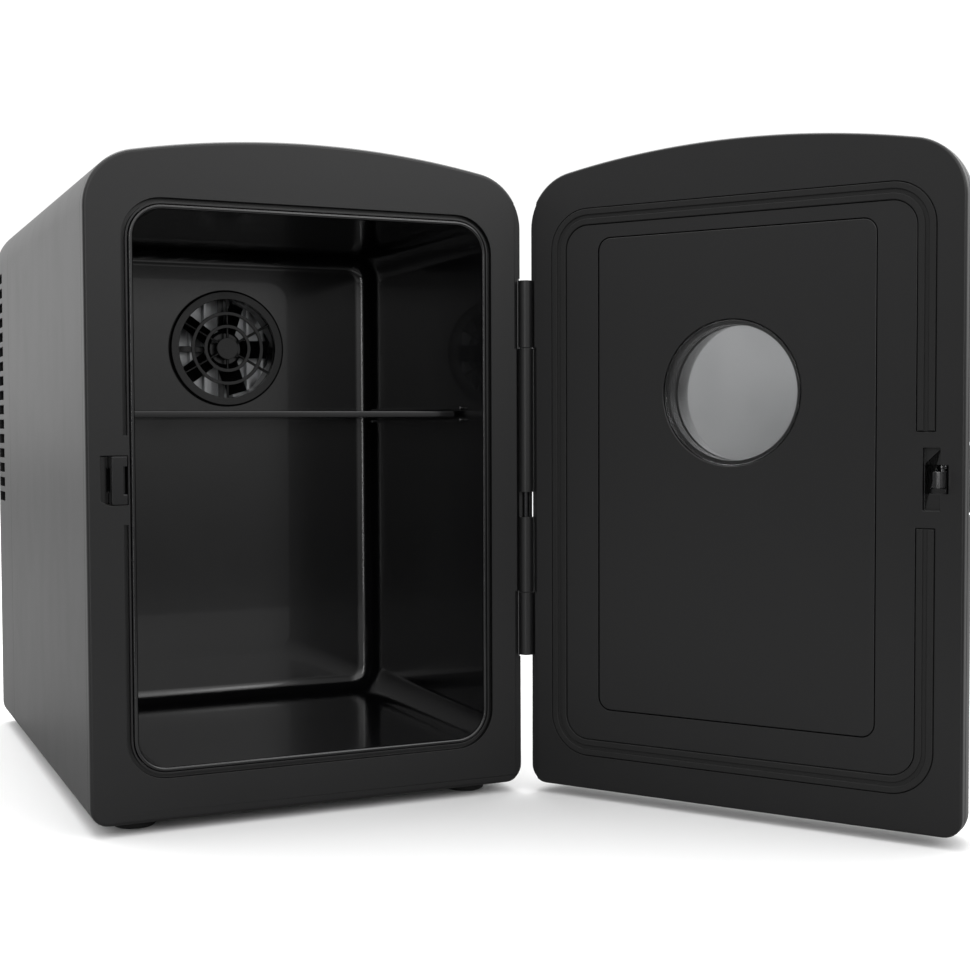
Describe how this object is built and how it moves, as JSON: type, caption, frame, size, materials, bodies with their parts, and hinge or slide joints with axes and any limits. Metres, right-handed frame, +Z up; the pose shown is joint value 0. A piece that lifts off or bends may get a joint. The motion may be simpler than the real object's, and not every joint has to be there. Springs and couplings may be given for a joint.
{
  "type": "mini fridge",
  "caption": "Small tabletop thermoelectric fridge with an arched top, a hinged door with a round window, a slide-out shelf and a folding carry handle.",
  "frame": {"origin": "middle of the bounding box's footprint with the door open as it rests, on the surface that the feet stand on", "axes": "+Z up, the open front faces -Y, the door's hinge is on the +X side"},
  "size_m": [0.2932, 0.404, 0.2704],
  "materials": {
    "black_case": "semi-matte moulded black",
    "black_liner": "glossy black",
    "black_trim": "satin black",
    "dark_rubber": "matte",
    "smoke_pane": "smoky grey, half clear",
    "white_foam": "foam",
    "steel": "bright",
    "aluminium": "milled",
    "white_ceramic": "matte",
    "board_green": "circuit board lacquer"
  },
  "bodies": {
    "cabinet": {"cabinet_shell": "black_case", "front_bezel": "black_case", "cavity_liner": "black_liner", "cabinet_insulation": "white_foam", "foot_1": "dark_rubber", "foot_2": "dark_rubber", "foot_3": "dark_rubber", "foot_4": "dark_rubber", "inner_fan_guard": "black_trim", "inner_fan_frame": "black_trim", "cold_sink": "aluminium", "spacer_block": "aluminium", "thermoelectric_module": "white_ceramic", "hot_sink": "aluminium", "rear_fan_frame": "black_trim", "rear_chassis": "black_trim", "rear_cover": "black_case", "cover_screw_1": "steel", "cover_screw_2": "steel", "cover_screw_3": "steel", "cover_screw_4": "steel", "mains_inlet": "black_trim", "low_voltage_socket": "black_trim", "switch_frame": "black_trim", "control_board": "board_green", "handle_bracket_left": "black_case", "handle_bracket_right": "black_case", "handle_pin_left": "steel", "handle_pin_right": "steel", "latch_keeper": "black_trim", "hinge_pin": "steel"},
    "door": {"door_inner_panel": "black_case", "door_inset_plate": "black_case", "door_outer_shell": "black_case", "door_insulation": "white_foam", "door_gasket": "dark_rubber", "inner_pane": "smoke_pane", "pane_spacer": "black_trim", "outer_pane": "smoke_pane", "porthole_trim": "black_trim", "latch_pin": "steel", "latch_spring": "steel"},
    "latch_lever": {"latch_lever": "black_trim"},
    "shelf": {"shelf": "black_liner"},
    "carry_handle": {"carry_handle": "black_case"},
    "mode_switch": {"mode_switch": "black_trim"},
    "inner_fan_rotor": {"inner_fan_rotor": "black_trim"},
    "rear_fan_rotor": {"rear_fan_rotor": "black_trim"}
  },
  "joints": [
    {"name": "door_hinge", "type": "hinge", "parent": "cabinet", "child": "door", "pos_m": [0.03138, -0.05422, 0.134], "axis": [0, 0, 1], "range_deg": [-123.4, 41.6]},
    {"name": "latch_release", "type": "hinge", "parent": "door", "child": "latch_lever", "pos_m": [0.13103, -0.18945, 0.132], "axis": [0, 0, 1], "range_deg": [0, 5.5], "stiffness_Nm_per_rad": 0.02},
    {"name": "shelf_slide", "type": "slide", "parent": "cabinet", "child": "shelf", "axis": [0, -1, 0], "range_m": [0, 0.095]},
    {"name": "handle_pivot", "type": "hinge", "parent": "cabinet", "child": "carry_handle", "pos_m": [-0.05837, 0.05453, 0.2658], "axis": [1, 0, 0], "range_deg": [0, 100]},
    {"name": "switch_rocker", "type": "hinge", "parent": "cabinet", "child": "mode_switch", "pos_m": [-0.02837, 0.19823, 0.046], "axis": [1, 0, 0], "range_deg": [-12, 12]},
    {"name": "inner_fan_spin", "type": "hinge", "parent": "cabinet", "child": "inner_fan_rotor", "pos_m": [-0.05837, 0.085, 0.188], "axis": [0, 1, 0], "continuous": true},
    {"name": "rear_fan_spin", "type": "hinge", "parent": "cabinet", "child": "rear_fan_rotor", "pos_m": [-0.05837, 0.15, 0.188], "axis": [0, 1, 0], "continuous": true}
  ]
}
